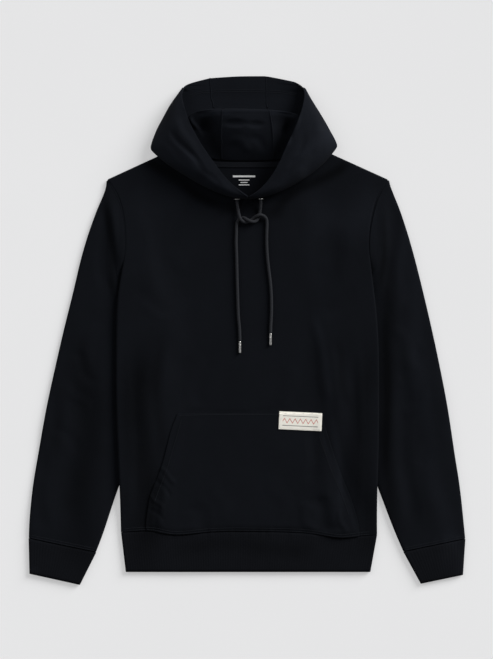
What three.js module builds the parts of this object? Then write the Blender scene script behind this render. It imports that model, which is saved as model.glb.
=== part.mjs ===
// A pullover hoodie in heavy fleece, laid out flat with its front up, sleeves down and hood open.
// Millimetres, +Z up, +Y towards the hood, +X to the right of the front as it is seen from above.
// The origin lies on the surface under the middle. Each piece is a wall of cloth, cut as a maker cuts it.
import * as THREE from "three";

// Driving sizes
const CLOTH = 2; // thickness of the fleece
const SEAM = 0.3; // clear gap between two pieces
const FLAT = 7.5; // two panels lying on each other, outside to outside
const OVER = FLAT + 0.5; // height at which a panel lies on a flattened sleeve
const HALF = CLOTH / 2;
const TURN = (FLAT - CLOTH) / 2 - 0.5; // radius of a panel's turned edge, in the middle of the cloth
const TURN_STEPS = [0, 35, 65, 90]; // degrees round a turned edge, from its outermost line
const RIB_PITCH = 4.2; // from one knitted rib to the next
const RIB_RISE = 0.5;
const BAND_BOTTOM = -410; // lower fold of the waistband
const ARMHOLE_GAP = 1.3; // across the drawn-in armhole seam, from outline to outline
const HEM_SINK = 0.6; // how deep the cloth is drawn in along a seam
const EDGE_CROWD = 0.6; // how much closer a body panel's lines lie towards its sides
const POCKET_LIFT = 0.9; // pocket above the front panel
const POCKET_GAPE = 0.9; // how much further it stands off where the front swells
const CORD = { diameter: 5, sides: 8, steps: 38 };
const AGLET = { diameter: 4.6, length: 20, sides: 12 };
const KNEE_SHARE = 0.7; // share of a sleeve section's steps before its knee, and the knee's usual place
const EYELET = { outer: 5.6, inner: 3.1, depth: 1.4, sides: 16 };

// Outline of the body from hem to shoulder tip: side edges, then the armhole seams above the underarm
const UNDERARM = 70;
const BODY = [
  { y: -352, left: -214, right: 221 },
  { y: -271, left: -216, right: 221 },
  { y: -203, left: -219, right: 223 },
  { y: -116, left: -222, right: 224 },
  { y: -18, left: -222, right: 223 },
  { y: 37, left: -221, right: 219 },
  { y: UNDERARM, left: -218, right: 215 },
  { y: 98, left: -212, right: 211 },
  { y: 123, left: -207, right: 208 },
  { y: 152, left: -206, right: 206 },
  { y: 180, left: -208, right: 210 },
  { y: 207, left: -213, right: 216 },
  { y: 234, left: -223, right: 225 },
  { y: 256, left: -238, right: 240 },
];
const SHOULDER_TIP = 256;

// Seam between the body and the waistband
const HEM = [
  { x: -216, y: -343 },
  { x: -164, y: -340 },
  { x: -122, y: -347 },
  { x: -60, y: -342 },
  { x: 0, y: -341 },
  { x: 100, y: -344 },
  { x: 158, y: -352 },
  { x: 190, y: -349 },
  { x: 222, y: -347 },
];

// Neckline: the front drops lower than the back, and both meet the shoulder seams
const NECK = { halfWidth: 100, shoulder: 320, frontDrop: 94, backDrop: 31 };

// Inner edge of each sleeve where it lies hidden under the side of the body
const HIDDEN = [
  { y: -276, left: -222, right: 226 },
  { y: -205, left: -195, right: 199 },
  { y: -120, left: -176, right: 179 },
  { y: -60, left: -164, right: 166 },
  { y: -10, left: -158, right: 160 },
  { y: 22, left: -160, right: 161 },
  { y: 42, left: -165, right: 165 },
  { y: 56, left: -171, right: 170 },
  { y: 67, left: -177, right: 176 },
  { y: 76, left: -182, right: 181 },
  { y: 84, left: -186, right: 185 },
  { y: 112, left: -194, right: 193 },
];

// Line where each sleeve steps down beside its armhole seam
const CREASE = [
  { y: 60, left: -219, right: 216 },
  { y: 95, left: -218.5, right: 220 },
  { y: 131, left: -220.5, right: 227 },
  { y: 166, left: -224.6, right: 231 },
  { y: 198, left: -230, right: 236 },
  { y: 240, left: -238, right: 241 },
];

// Sleeve sections from the cuff seam to the armhole: outer end, inner end, the share of the armhole
// seam's curve that the section follows, and near the armhole the knee where it turns in under the body
const SLEEVES = {
  left: [
    { outer: [-371, -352], inner: [-256, -376], bend: 0 },
    { outer: [-370, -322], inner: [-243, -342], bend: 0 },
    { outer: [-364, -262], inner: [-223, -280], bend: 0 },
    { outer: [-355, -210], inner: [-198, -212], bend: 0 },
    { outer: [-342, -135], inner: [-180, -132], bend: 0 },
    { outer: [-327, -66], inner: [-166, -58], bend: 0 },
    { outer: [-311, 4], inner: [-160, -8], bend: 0 },
    { outer: [-295, 68], inner: [-162, 22], bend: 0 },
    { outer: [-283, 120], knee: [-230, 72], inner: [-167, 42], bend: 0.02 },
    { outer: [-271, 165], knee: [-228, 79], inner: [-173, 56], bend: 0.1 },
    { outer: [-259, 207], knee: [-223, 85], inner: [-179, 67], bend: 0.3 },
    { outer: [-248, 236], knee: [-218, 91], inner: [-184, 76], bend: 0.6 },
    { outer: [-239, 255], knee: [-213.5, 97], inner: [-188, 84], bend: 1 },
  ],
  right: [
    { outer: [371, -353], inner: [265, -375], bend: 0 },
    { outer: [368, -322], inner: [249, -338], bend: 0 },
    { outer: [361.5, -262], inner: [227, -280], bend: 0 },
    { outer: [353, -210], inner: [202, -212], bend: 0 },
    { outer: [342, -135], inner: [183, -132], bend: 0 },
    { outer: [328, -62], inner: [168, -58], bend: 0 },
    { outer: [314, 4], inner: [162, -8], bend: 0 },
    { outer: [299, 68], inner: [163, 22], bend: 0 },
    { outer: [286, 120], knee: [230, 72], inner: [167, 42], bend: 0.02 },
    { outer: [274.5, 165], knee: [228, 79], inner: [172, 56], bend: 0.1 },
    { outer: [263, 208], knee: [222.5, 85], inner: [178, 67], bend: 0.3 },
    { outer: [252, 238], knee: [217.5, 91], inner: [183, 76], bend: 0.6 },
    { outer: [241, 256], knee: [212.8, 97], inner: [187, 84], bend: 1 },
  ],
};

// Cuffs: outer and inner end of the seam, and of the lower fold
const CUFFS = {
  left: [
    { outer: [-371, -353], inner: [-256, -377] },
    { outer: [-369.6, -413], inner: [-283.7, -432] },
  ],
  right: [
    { outer: [371, -354], inner: [265.5, -376] },
    { outer: [367, -415], inner: [295, -430] },
  ],
};

// Waistband, at its seam and at its lower fold
const BAND = [
  { t: 0, left: -214, right: 221 },
  { t: 1, left: -206, right: 209.6 },
];

// Kangaroo pocket: its slanted hand openings, and the seam along its top
const POCKET = [
  { y: -353, left: -163, right: 186 },
  { y: -320, left: -168, right: 185 },
  { y: -299, left: -168, right: 182 },
  { y: -277, left: -162, right: 175 },
  { y: -255, left: -153, right: 165 },
  { y: -230, left: -144, right: 155 },
  { y: -199, left: -136, right: 144 },
  { y: -168, left: -129, right: 134 },
  { y: -141, left: -118, right: 127 },
];
const POCKET_TOP = -141;
const POCKET_FOOT = -347;
const POCKET_COLUMNS = 24;
const POCKET_ROWS = 9;
const LABEL = { middle: [90.5, -153.9], width: 73, height: 30.5, turn: -2.7, thickness: 0.9 };

// Largest soft folds of the front: the line of each, its width and its height
const FRONT_FOLDS = [
  { from: [154, 20], to: [152, -345], width: 60, rise: 2 },
  { from: [-178, -60], to: [-176, -345], width: 56, rise: 1.2 },
];

// Hood sections from the centre front, over the side and the crown, to the next seam. Each row runs
// from the front edge (rim) over the outer face (wing, edge), back below (under, tuck), up to the
// rolled collar (roll) and down its inner face (fall) to the neck seam (neck).
const HOOD_LEFT = [
  { rim: [1, 227, 31], wing: [0.6, 224, 25], edge: [0.4, 223, 19], under: [0.4, 223.6, 15],
    tuck: [0.4, 224.6, 13], roll: [0.4, 225.6, 11.6], fall: [0.4, 226.6, 10.4], neck: [0.4, 227.4, 9.4] },
  { rim: [-19, 241, 35], wing: [-24, 231, 32], edge: [-27, 226, 21], under: [-26.5, 226.8, 15],
    tuck: [-26, 228, 12.6], roll: [-25.6, 229.4, 11], fall: [-25.2, 230.8, 10], neck: [-25, 232.2, 9.4] },
  { rim: [-39, 260, 40], wing: [-53, 246, 39], edge: [-62, 238, 22], under: [-60, 239.6, 13.5],
    tuck: [-57.5, 241.6, 10.8], roll: [-55, 243.6, 9.8], fall: [-52.5, 245.6, 9.4], neck: [-50, 247.4, 9.4] },
  { rim: [-59, 288, 43], wing: [-80, 270, 44], edge: [-98, 258.5, 22], under: [-94, 260.6, 12],
    tuck: [-89, 263, 9.8], roll: [-84, 265.4, 9.4], fall: [-79, 267.8, 9.4], neck: [-74, 270, 9.4] },
  { rim: [-77, 313, 45], wing: [-106, 297, 46], edge: [-135, 280.5, 21], under: [-128, 283, 11.4],
    tuck: [-118, 286, 9.6], roll: [-108, 289, 9.4], fall: [-99, 291.5, 9.4], neck: [-91, 293.5, 9.4] },
  { rim: [-92, 340, 45], wing: [-128, 324, 45], edge: [-164.5, 306, 18], under: [-153, 304, 11.8],
    tuck: [-136, 304, 11.2], roll: [-122, 305, 11.2], fall: [-110, 306, 11], neck: [-98.5, 307, 10.6] },
  { rim: [-102, 363, 42], wing: [-130, 350, 40], edge: [-157.5, 332, 14], under: [-143, 331, 4],
    tuck: [-121, 334, 6], roll: [-106, 339, 16], fall: [-99, 331, 14], neck: [-93, 319, 6] },
  { rim: [-108, 385, 35], wing: [-127, 375, 31], edge: [-144, 358.5, 11], under: [-130, 352, 1.4],
    tuck: [-109, 345, 5], roll: [-103, 356, 27], fall: [-93, 336, 15], neck: [-83, 304, 3.6] },
  { rim: [-111.5, 400, 24], wing: [-118, 398, 20], edge: [-122.5, 393, 9], under: [-113, 380, 1.2],
    tuck: [-92, 352, 6], roll: [-94, 366, 31], fall: [-80, 342, 14], neck: [-70, 296, 3.5] },
  { rim: [-106, 413, 15], wing: [-108.5, 412, 12], edge: [-111, 406, 6], under: [-102, 387, 1],
    tuck: [-82, 349, 7], roll: [-84, 370, 33], fall: [-73, 344, 14], neck: [-62, 293, 3.4] },
  { rim: [-97, 420, 6], wing: [-97, 411, 3.6], edge: [-94, 400, 1.6], under: [-88, 381, 1],
    tuck: [-71, 346, 7], roll: [-70, 373, 35], fall: [-63, 344, 17], neck: [-54, 291, 3.4] },
  { rim: [-63, 428.6, 4], wing: [-62, 410, 2.4], edge: [-60.5, 396, 1.1], under: [-57, 378, 1],
    tuck: [-48, 343, 8], roll: [-42, 374, 36], fall: [-43, 340, 28], neck: [-43, 289.6, 3.4] },
];
const HOOD_CENTRE = [
  { rim: [-16, 431.6, 4], wing: [-16, 410, 2.4], edge: [-16, 396, 1.1], under: [-15, 378, 1],
    tuck: [-12, 341, 8], roll: [-8, 373.5, 37], fall: [-8, 338, 34], neck: [-8, 288.6, 3.4] },
];
const HOOD_RIGHT = [
  { rim: [33, 432, 4], wing: [33, 410, 2.4], edge: [33.5, 396, 1.1], under: [34, 378, 1],
    tuck: [35, 343, 8], roll: [38, 372, 36], fall: [43, 340, 28], neck: [45, 289.6, 3.4] },
  { rim: [80, 422.5, 6], wing: [82, 411, 3.6], edge: [82, 400, 1.6], under: [78, 381, 1],
    tuck: [63, 346, 7], roll: [64, 369.5, 35], fall: [60, 344, 17], neck: [54, 291, 3.4] },
  { rim: [96, 412, 15], wing: [98.5, 410.5, 12], edge: [100.5, 404, 6], under: [92, 386, 1],
    tuck: [75, 349, 7], roll: [76, 367, 33], fall: [70, 344, 14], neck: [62, 293, 3.4] },
  { rim: [98, 397.5, 24], wing: [104, 396, 20], edge: [108, 391.5, 9], under: [101, 379, 1.2],
    tuck: [85, 352, 6], roll: [87, 364, 31], fall: [77, 342, 14], neck: [70, 296, 3.5] },
  { rim: [94, 378, 35], wing: [111, 371, 31], edge: [129, 360, 11], under: [118, 351, 1.4],
    tuck: [102, 345, 5], roll: [95, 354, 27], fall: [89, 336, 15], neck: [83, 304, 3.6] },
  { rim: [88, 359, 42], wing: [114, 348, 40], edge: [143.5, 335, 14], under: [131, 333, 4],
    tuck: [113, 335, 6], roll: [99, 339, 16], fall: [95, 331, 14], neck: [93, 319, 6] },
  { rim: [78, 335, 45], wing: [114, 322, 45], edge: [154.5, 311, 18], under: [144, 309, 12.4],
    tuck: [130, 308, 11.4], roll: [118, 307.5, 11.2], fall: [108, 307, 11], neck: [98.5, 307, 10.6] },
  { rim: [66, 310, 45], wing: [94, 296, 46], edge: [129, 280.5, 21], under: [123, 283, 11.4],
    tuck: [115, 286, 9.6], roll: [107, 289, 9.4], fall: [99, 291.5, 9.4], neck: [91, 293.5, 9.4] },
  { rim: [54, 281, 43], wing: [74, 268, 44], edge: [99, 258.5, 22], under: [95, 260.6, 12],
    tuck: [90, 263, 9.8], roll: [85, 265.4, 9.4], fall: [80, 267.8, 9.4], neck: [75, 270, 9.4] },
  { rim: [38, 255, 40], wing: [53, 245, 39], edge: [64, 238, 22], under: [62, 239.6, 13.5],
    tuck: [59, 241.6, 10.8], roll: [56, 243.6, 9.8], fall: [53, 245.6, 9.4], neck: [50, 247.4, 9.4] },
  { rim: [20, 236, 35], wing: [26, 230, 32], edge: [30, 226, 21], under: [29.5, 226.8, 15],
    tuck: [28.5, 228, 12.6], roll: [27.6, 229.4, 11], fall: [26.6, 230.8, 10], neck: [25.6, 232.2, 9.4] },
  { rim: [3.6, 226.4, 30], wing: [3.2, 224, 24.6], edge: [3, 223, 19], under: [3, 223.6, 15],
    tuck: [3, 224.6, 13], roll: [3, 225.6, 11.6], fall: [3, 226.6, 10.4], neck: [3, 227.4, 9.4] },
];
const HOOD_STEPS = 3; // from one station to the next
const STATIONS = ["rim", "wing", "edge", "under", "tuck", "roll", "fall", "neck"];

// Tape over the neck seam: half its length, its width, and how far it lies below the neck edge
const TAPE = { halfWidth: 58, depth: 9, thickness: 1, below: 3 };

// Routes of the two drawcords, from the eyelet, through a half knot, to the aglet
const CORD_LEFT = [
  [-17, 222.4, 17], [-16.4, 213, 15], [-15, 204, 13.2], [-13.4, 196.5, 15.4], [-11.5, 190, 16.5],
  [-7.6, 185.4, 15], [-2, 183.6, 12], [3.6, 185.2, 10.5], [8.4, 188.6, 10.4], [13, 192, 12.2],
  [17.6, 194.8, 15.4], [22.8, 196, 16.5], [28.6, 194, 14], [32.8, 189.4, 11.4], [34, 182, 10.4],
  [33.6, 168, 10.4], [33.4, 150, 10.4], [34.6, 126, 10.4], [37.4, 100, 10.4], [40, 78, 10.4],
  [41.4, 54, 10.4], [41.4, 28, 10.4], [40.4, 8, 10.4], [40, -4.8, 10.4],
];
const CORD_RIGHT = [
  [23.5, 222.8, 17], [23.2, 213, 14], [22.4, 204, 11.2], [21.3, 197.4, 10.4], [19.6, 191.4, 10.4],
  [16.2, 186.6, 12.2], [10.6, 184.4, 15.2], [4.8, 185.8, 16.6], [-0.8, 188.8, 15], [-5.6, 191.2, 11.8],
  [-11.2, 190.4, 10.4], [-15.4, 186.2, 10.4], [-17.4, 180, 10.4], [-18, 166, 10.4], [-18.4, 150, 10.4],
  [-17.6, 126, 10.4], [-17, 100, 10.4], [-16, 62, 10.4], [-14.6, 24, 10.4], [-12.8, 4, 10.4],
  [-11.9, -17.9, 10.4],
];

// Colours of the pieces
const FLEECE = { color: 0x15161b, roughness: 0.95, metalness: 0 };
const RIB_KNIT = { color: 0x131418, roughness: 0.92, metalness: 0 };
const CORD_YARN = { color: 0x303137, roughness: 0.85, metalness: 0 };
const WOVEN = { color: 0xe9e2d0, roughness: 0.8, metalness: 0 };
const METAL = { color: 0x8f9094, roughness: 0.35, metalness: 1 };

const hoodie = new THREE.Group();

function add(name, geometry, finish) {
  const mesh = new THREE.Mesh(geometry, new THREE.MeshStandardMaterial(finish));
  mesh.name = name;
  hoodie.add(mesh);
  return mesh;
}

// A step from 0 to 1 with soft ends
function soft(value) {
  const t = Math.min(1, Math.max(0, value));
  return t * t * (3 - 2 * t);
}

function mix(a, b, t) {
  return a + (b - a) * t;
}

// A smooth value between the rows of a table, held past its first and last row
function between(rows, key, column, at) {
  const last = rows.length - 1;
  if (at <= rows[0][key]) return rows[0][column];
  if (at >= rows[last][key]) return rows[last][column];
  const i = rows.findIndex((row, n) => n < last && at <= rows[n + 1][key]);
  const slope = (n) => {
    const a = rows[Math.max(0, n - 1)];
    const b = rows[Math.min(last, n + 1)];
    return (b[column] - a[column]) / (b[key] - a[key]);
  };
  const span = rows[i + 1][key] - rows[i][key];
  const t = (at - rows[i][key]) / span;
  const start = rows[i][column];
  const rise = rows[i + 1][column] - start;
  const a = slope(i) * span;
  const b = slope(i + 1) * span;
  return start + t * (a + t * (3 * rise - 2 * a - b + t * (a + b - 2 * rise)));
}

// A wall of cloth from a grid of points in the middle of its thickness. With ring, each row closes on
// itself. raise gives what is added to the outer face at a row and a column.
function wall(grid, { thickness = CLOTH, ring = false, raise = () => 0 } = {}) {
  const rows = grid.length;
  const cols = grid[0].length;
  const wrap = (j) => (ring ? (j + cols) % cols : Math.min(cols - 1, Math.max(0, j)));
  const at = (i, j) => grid[Math.min(rows - 1, Math.max(0, i))][wrap(j)];
  const positions = [];
  const along = new THREE.Vector3();
  const across = new THREE.Vector3();
  const outer = [];
  const inner = [];
  for (let i = 0; i < rows; i++) {
    for (let j = 0; j < cols; j++) {
      along.subVectors(at(i + 1, j), at(i - 1, j));
      across.subVectors(at(i, j + 1), at(i, j - 1));
      const normal = along.clone().cross(across).normalize();
      const out = at(i, j).clone().addScaledVector(normal, thickness / 2 + raise(i, j));
      const back = at(i, j).clone().addScaledVector(normal, -thickness / 2);
      outer.push(positions.length / 3);
      positions.push(out.x, out.y, out.z);
      inner.push(positions.length / 3);
      positions.push(back.x, back.y, back.z);
    }
  }
  const index = [];
  const o = (i, j) => outer[i * cols + wrap(j)];
  const n = (i, j) => inner[i * cols + wrap(j)];
  const quad = (a, b, c, d) => index.push(a, b, c, a, c, d);
  const spans = ring ? cols : cols - 1;
  for (let i = 0; i < rows - 1; i++) {
    for (let j = 0; j < spans; j++) {
      quad(o(i, j), o(i + 1, j), o(i + 1, j + 1), o(i, j + 1));
      quad(n(i, j), n(i, j + 1), n(i + 1, j + 1), n(i + 1, j));
    }
    if (!ring) {
      quad(o(i, 0), n(i, 0), n(i + 1, 0), o(i + 1, 0));
      quad(o(i, cols - 1), o(i + 1, cols - 1), n(i + 1, cols - 1), n(i, cols - 1));
    }
  }
  for (let j = 0; j < spans; j++) {
    quad(o(0, j), o(0, j + 1), n(0, j + 1), n(0, j));
    quad(o(rows - 1, j), n(rows - 1, j), n(rows - 1, j + 1), o(rows - 1, j + 1));
  }
  const geometry = new THREE.BufferGeometry();
  geometry.setAttribute("position", new THREE.Float32BufferAttribute(positions, 3));
  geometry.setIndex(index);
  geometry.computeVertexNormals();
  return geometry;
}

// Distance from a hidden sleeve's inner edge towards the middle of the body, on the nearer side
function pastSleeve(x, y) {
  return x < 0
    ? x - between(HIDDEN, "y", "left", y)
    : between(HIDDEN, "y", "right", y) - x;
}

// Height by which the back lies above the surface, where a sleeve lies under it
function backRise(x, y) {
  const lower = soft((y + 302) / 24);
  const upper = 1 - soft((y - 112) / 30);
  return OVER * soft((52 - pastSleeve(x, y)) / 30) * lower * upper;
}

// Height by which the front lies above its flat level, with its softer ramp and its folds
function frontRise(x, y) {
  const lower = soft((y + 316) / 38);
  const upper = 1 - soft((y - 140) / 100);
  let rise = OVER * soft((54 - pastSleeve(x, y)) / 33) * lower * upper;
  for (const fold of FRONT_FOLDS) {
    const t = (fold.from[1] - y) / (fold.from[1] - fold.to[1]);
    const middle = mix(fold.from[0], fold.to[0], t);
    const away = Math.abs(x - middle) / (fold.width / 2);
    rise += fold.rise * soft(1 - away) * soft(t / 0.3);
  }
  return rise;
}

const TURNED_EDGE = TURN_STEPS.map((degrees) => {
  const a = THREE.MathUtils.degToRad(degrees);
  return { inset: HALF + TURN * (1 - Math.cos(a)), drop: TURN * (1 - Math.sin(a)) };
});
const SEWN_EDGE = [{ inset: SEAM / 2, drop: HEM_SINK }, { inset: 6, drop: 0 }];

// Places of a panel's lines across one direction: an edge at each end, and lines between them that lie
// closer near the ends by the share crowd
function panelLines(from, to, count, startEdge, endEdge, crowd = 0) {
  const lines = startEdge.map((line) => ({ at: from + line.inset, drop: line.drop }));
  const first = lines[lines.length - 1].at;
  const last = to - endEdge[endEdge.length - 1].inset;
  for (let k = 1; k < count; k++) {
    const t = k / count - (crowd * Math.sin((2 * Math.PI * k) / count)) / (2 * Math.PI);
    lines.push({ at: mix(first, last, t), drop: 0 });
  }
  endEdge.toReversed().forEach((line) => lines.push({ at: to - line.inset, drop: line.drop }));
  return lines;
}

// Seam line between the body and the waistband: wavy on the front, straight on the back
function hemLine(x, back) {
  return back ? mix(HEM[0].y, HEM[HEM.length - 1].y, (x - BODY[0].left) / (BODY[0].right - BODY[0].left))
    : between(HEM, "x", "y", x);
}

// Height of the top of a body panel over a place across: shoulder seams outside, neckline inside
function panelTop(x, neckDrop, neckPower) {
  const from = Math.abs(x);
  if (from >= NECK.halfWidth) {
    const tip = x < 0 ? -BODY[BODY.length - 1].left : BODY[BODY.length - 1].right;
    return mix(NECK.shoulder, SHOULDER_TIP, (from - NECK.halfWidth) / (tip - NECK.halfWidth));
  }
  return NECK.shoulder - neckDrop * (1 - (from / NECK.halfWidth) ** neckPower) ** (1 / neckPower);
}

// A body panel from hem to shoulders. face gives the middle of the cloth, turn the sign of its edges.
function bodyPanel({ columns, rows, back, neckDrop, neckPower }) {
  const grid = [];
  const face = back ? backFace : frontFace;
  const turn = back ? -1 : 1;
  const height = SHOULDER_TIP - HEM[0].y;
  for (const row of panelLines(0, height, rows, SEWN_EDGE, TURNED_EDGE)) {
    const up = row.at / height;
    const edgeY = mix(HEM[0].y, SHOULDER_TIP, up);
    const left = between(BODY, "y", "left", edgeY);
    const right = between(BODY, "y", "right", edgeY);
    const line = panelLines(left, right, columns, TURNED_EDGE, TURNED_EDGE, EDGE_CROWD);
    const armhole = soft((edgeY - UNDERARM + 8) / 16);
    grid.push(
      line.map((column) => {
        const x = column.at;
        const bottom = hemLine(x, back) + SEAM / 2;
        const top = panelTop(x, neckDrop, neckPower);
        const y = mix(bottom, SHOULDER_TIP, up) + (top - SHOULDER_TIP) * up ** 4;
        const neck = up > 0.5 ? soft((NECK.halfWidth + 8 - Math.abs(x)) / 16) : 0;
        const drop = Math.max(column.drop * mix(1, 0.4, armhole), row.drop * (1 - neck));
        return new THREE.Vector3(x, y, face(x, y) - turn * drop);
      }),
    );
  }
  return grid;
}

const frontFace = (x, y) => FLAT - HALF + frontRise(x, y);
const backFace = (x, y) => HALF + backRise(x, y);

const frontGrid = bodyPanel({
  columns: 24, rows: 18, back: false, neckDrop: NECK.frontDrop, neckPower: 2,
});
const backGrid = bodyPanel({
  columns: 18, rows: 18, back: true, neckDrop: NECK.backDrop, neckPower: 4,
});
add("front_body", wall(frontGrid.toReversed()), FLEECE);
add("back_body", wall(backGrid), FLEECE);

// Points round a flattened tube, whose plan runs straight from outer to knee and from there to inner:
// over the top from outer to inner, then back under it. over and below give how many steps each face
// takes, top what is added to the height of the upper face, and bend how far a place moves across.
function flatRing({ outer, knee, inner }, { top, over, below, bend = () => 0 }) {
  const [from, turn, to] = [outer, knee ?? outer, inner].map((place) => new THREE.Vector2(...place));
  const first = from.distanceTo(turn);
  const width = first + turn.distanceTo(to);
  const ring = [];
  const put = (distance, height, lift) => {
    const place = distance < first
      ? from.clone().lerp(turn, distance / first)
      : turn.clone().lerp(to, (distance - first) / (width - first));
    if (distance < first) place.x += bend(place.y);
    const z = height + lift * top(place.x, place.y);
    ring.push(new THREE.Vector3(place.x, place.y, z));
  };
  const along = (k, count, start, end) => {
    if (!knee) return mix(start, end, k / count);
    const before = Math.round(count * KNEE_SHARE);
    return k <= before ? mix(start, first, k / before) : mix(first, end, (k - before) / (count - before));
  };
  const radius = (FLAT - CLOTH) / 2;
  const middle = FLAT / 2;
  const turns = [0, 45, 90].map(THREE.MathUtils.degToRad);
  for (const a of turns) {
    put(HALF + radius * (1 - Math.cos(a)), middle + radius * Math.sin(a), Math.sin(a));
  }
  for (let k = 1; k < over; k++) {
    put(along(k, over, HALF + radius, width - HALF - radius), FLAT - HALF, 1);
  }
  for (const a of turns.toReversed()) {
    put(width - HALF - radius * (1 - Math.cos(a)), middle + radius * Math.sin(a), Math.sin(a));
  }
  for (const a of turns.slice(1)) {
    put(width - HALF - radius * (1 - Math.cos(a)), middle - radius * Math.sin(a), 0);
  }
  for (let k = below - 1; k > 0; k--) {
    put(along(k, below, HALF + radius, width - HALF - radius), HALF, 0);
  }
  for (const a of turns.slice(1).toReversed()) {
    put(HALF + radius * (1 - Math.cos(a)), middle - radius * Math.sin(a), 0);
  }
  return ring;
}

// Table rows of a tube as smooth plan curves, sampled evenly along its length
function sleeveSections(rows, perSpan) {
  const kneeOf = (row) => row.knee ?? row.outer.map((v, k) => mix(v, row.inner[k], KNEE_SHARE));
  const curve = (place) => new THREE.CatmullRomCurve3(rows.map((row) => new THREE.Vector3(...place(row), 0)));
  const outer = curve((row) => row.outer);
  const knee = curve(kneeOf);
  const inner = curve((row) => row.inner);
  const sections = [];
  const steps = (rows.length - 1) * perSpan;
  for (let k = 0; k <= steps; k++) {
    const t = k / steps;
    const row = Math.min(rows.length - 2, Math.floor(k / perSpan));
    const [a, b, c] = [outer, knee, inner].map((line) => line.getPoint(t));
    const share = mix(rows[row].bend, rows[row + 1].bend, k / perSpan - row);
    sections.push({ outer: [a.x, a.y], knee: [b.x, b.y], inner: [c.x, c.y], share });
  }
  return sections;
}

// A sleeve's upper face lies at the body's level between the armhole seam and the crease
function sleeveLift(name) {
  return (x, y) => {
    const crease = between(CREASE, "y", name, y);
    const inside = name === "left" ? x - crease : crease - x;
    const height = soft((y - 98) / 20) * (1 - soft((y - 140) / 100));
    return OVER * height * soft((inside + 5) / 7);
  };
}

// How far the armhole seam lies in from the straight line between its ends, at a height up the plan
function armholeCurve(name, y) {
  const { outer, knee } = SLEEVES[name][SLEEVES[name].length - 1];
  const t = (y - knee[1]) / (outer[1] - knee[1]);
  if (t <= 0 || t >= 1) return 0;
  const clear = name === "left" ? -ARMHOLE_GAP : ARMHOLE_GAP;
  return between(BODY, "y", name, y) + clear - mix(knee[0], outer[0], t);
}

for (const [name, rows] of Object.entries(SLEEVES)) {
  const grid = sleeveSections(rows, 2).map((section) =>
    flatRing(section, {
      top: sleeveLift(name), over: 10, below: 5, bend: (y) => section.share * armholeCurve(name, y),
    }),
  );
  add("sleeve_" + name, wall(name === "left" ? grid.toReversed() : grid, { ring: true }), FLEECE);
}

// A ribbed tube: ribs stand on the upper face, from seam to fold, and the face it lies on is plain
function ribbedTube(sections, count) {
  const over = count * 2;
  const grid = sections.map((section) =>
    flatRing(section, { top: () => 0, over, below: 8 }),
  );
  const raise = (i, j) => (j >= 3 && j < over + 2 && j % 2 === 1 ? RIB_RISE : 0);
  return { grid, raise };
}

for (const [name, rows] of Object.entries(CUFFS)) {
  const width = new THREE.Vector2(...rows[1].outer).distanceTo(new THREE.Vector2(...rows[1].inner));
  const { grid, raise } = ribbedTube(rows, Math.round(width / RIB_PITCH));
  if (name === "left") grid.reverse();
  add("cuff_" + name, wall(grid, { ring: true, raise }), RIB_KNIT);
}

// Waistband: its upper seam follows the hem of the body
const bandRibs = Math.round((BAND[1].right - BAND[1].left) / RIB_PITCH);
const band = ribbedTube(BAND.map((row) => ({ outer: [row.left, 0], inner: [row.right, 0] })), bandRibs);
const bandGrid = band.grid.map((ring, i) =>
  ring.map((point) => {
    const top = hemLine(point.x, point.z < FLAT / 2) - SEAM / 2;
    return new THREE.Vector3(point.x, mix(top, BAND_BOTTOM, BAND[i].t), point.z);
  }),
);
add("hem_band", wall(bandGrid.toReversed(), { ring: true, raise: band.raise }), RIB_KNIT);

// A point over the front panel: on the panel's own facets, moved out by lift, and a little further
// where the front swells
function onFront(x, y, lift) {
  const place = new THREE.Vector3(x, y, 0);
  const weights = new THREE.Vector3();
  const flat = (point) => new THREE.Vector3(point.x, point.y, 0);
  for (let i = 0; i < frontGrid.length - 1; i++) {
    for (let j = 0; j < frontGrid[0].length - 1; j++) {
      const [a, b, c, d] = [frontGrid[i][j], frontGrid[i + 1][j], frontGrid[i + 1][j + 1], frontGrid[i][j + 1]];
      for (const corners of [[a, b, c], [a, c, d]]) {
        THREE.Triangle.getBarycoord(place, ...corners.map(flat), weights);
        if (Math.min(...weights) < -1e-6) continue;
        const z = corners.reduce((sum, corner, k) => sum + corner.z * weights.getComponent(k), HALF);
        return new THREE.Vector3(x, y, z + lift + POCKET_GAPE * Math.min(1, z - FLAT));
      }
    }
  }
  return new THREE.Vector3(x, y, FLAT + frontRise(x, y) + POCKET_GAPE + lift);
}

// Pocket, made from the front's own points, moved out
const pocketGrid = [];
for (let i = 0; i <= POCKET_ROWS; i++) {
  const up = i / POCKET_ROWS;
  const edgeY = mix(POCKET_FOOT, POCKET_TOP, up);
  const left = between(POCKET, "y", "left", edgeY);
  const right = between(POCKET, "y", "right", edgeY);
  const line = [];
  for (let j = 0; j <= POCKET_COLUMNS; j++) {
    const t = j / POCKET_COLUMNS;
    const x = mix(left, right, t - (EDGE_CROWD * Math.sin(2 * Math.PI * t)) / (2 * Math.PI));
    const bottom = between(HEM, "x", "y", x) + SEAM;
    line.push(onFront(x, mix(bottom, POCKET_TOP, up), POCKET_LIFT + HALF));
  }
  pocketGrid.push(line);
}
add("pocket", wall(pocketGrid.toReversed()), FLEECE);

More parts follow.
